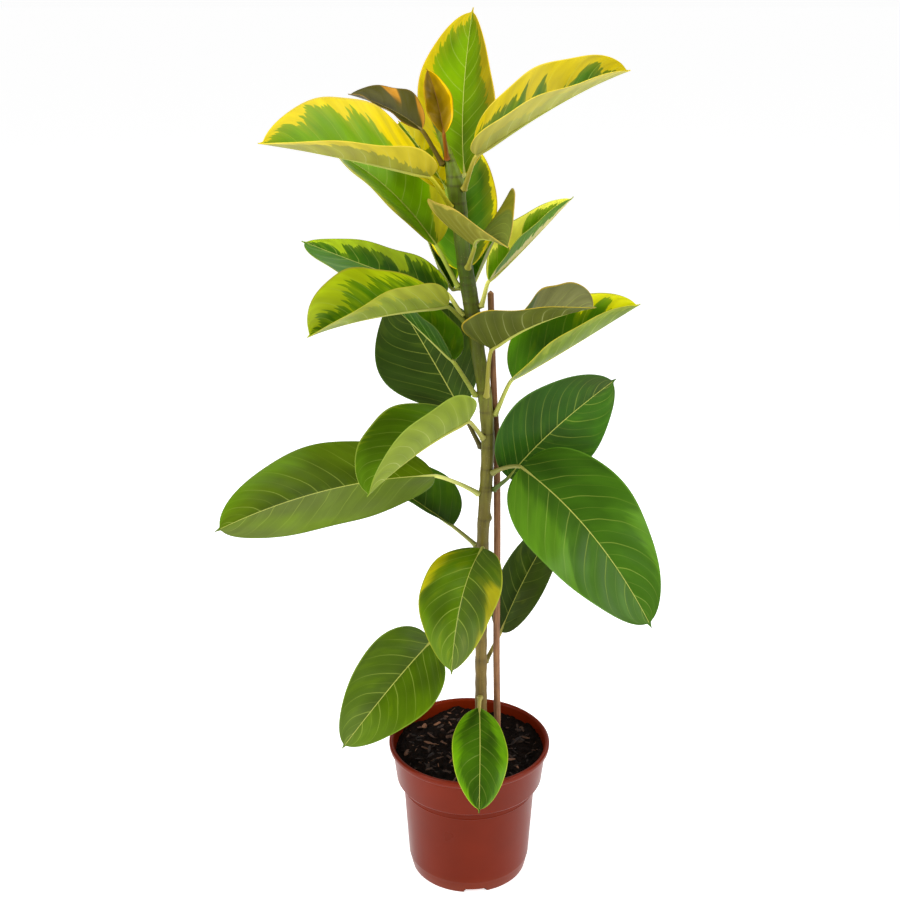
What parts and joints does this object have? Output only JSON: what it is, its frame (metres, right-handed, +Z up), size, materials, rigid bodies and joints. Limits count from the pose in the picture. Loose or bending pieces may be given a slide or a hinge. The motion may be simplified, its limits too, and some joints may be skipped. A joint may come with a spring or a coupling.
{
  "type": "potted lofty fig",
  "caption": "Variegated lofty fig with one staked stem and broad, yellow-edged leaves, standing in a terracotta-coloured plastic nursery pot.",
  "frame": {"origin": "centre of the pot's foot, on the surface it stands on", "axes": "+Z up along the pot's axis, -Y towards the side seen in the picture, +X to its right"},
  "size_m": [0.4227, 0.2897, 0.8861],
  "materials": {
    "terracotta_plastic": "satin",
    "potting_mix": "matte",
    "bark": "matte",
    "stake_wood": "matte",
    "young_leaf": "satin",
    "yellow_margined_leaf": "satin",
    "mottled_leaf": "satin",
    "green_leaf": "satin"
  },
  "bodies": {
    "root": {"pot": "terracotta_plastic", "soil": "potting_mix", "stem": "bark", "stake": "stake_wood", "leaf_01": "young_leaf", "leaf_02": "young_leaf", "leaf_03": "yellow_margined_leaf", "leaf_04": "yellow_margined_leaf", "leaf_05": "yellow_margined_leaf", "leaf_06": "yellow_margined_leaf", "leaf_07": "yellow_margined_leaf", "leaf_08": "yellow_margined_leaf", "leaf_09": "yellow_margined_leaf", "leaf_10": "yellow_margined_leaf", "leaf_11": "yellow_margined_leaf", "leaf_12": "yellow_margined_leaf", "leaf_13": "mottled_leaf", "leaf_14": "mottled_leaf", "leaf_15": "mottled_leaf", "leaf_16": "mottled_leaf", "leaf_17": "mottled_leaf", "leaf_18": "mottled_leaf", "leaf_19": "mottled_leaf", "leaf_20": "green_leaf", "leaf_21": "green_leaf", "leaf_22": "green_leaf", "leaf_23": "green_leaf", "leaf_24": "green_leaf", "leaf_25": "green_leaf", "leaf_26": "green_leaf", "leaf_27": "green_leaf"}
  },
  "joints": []
}
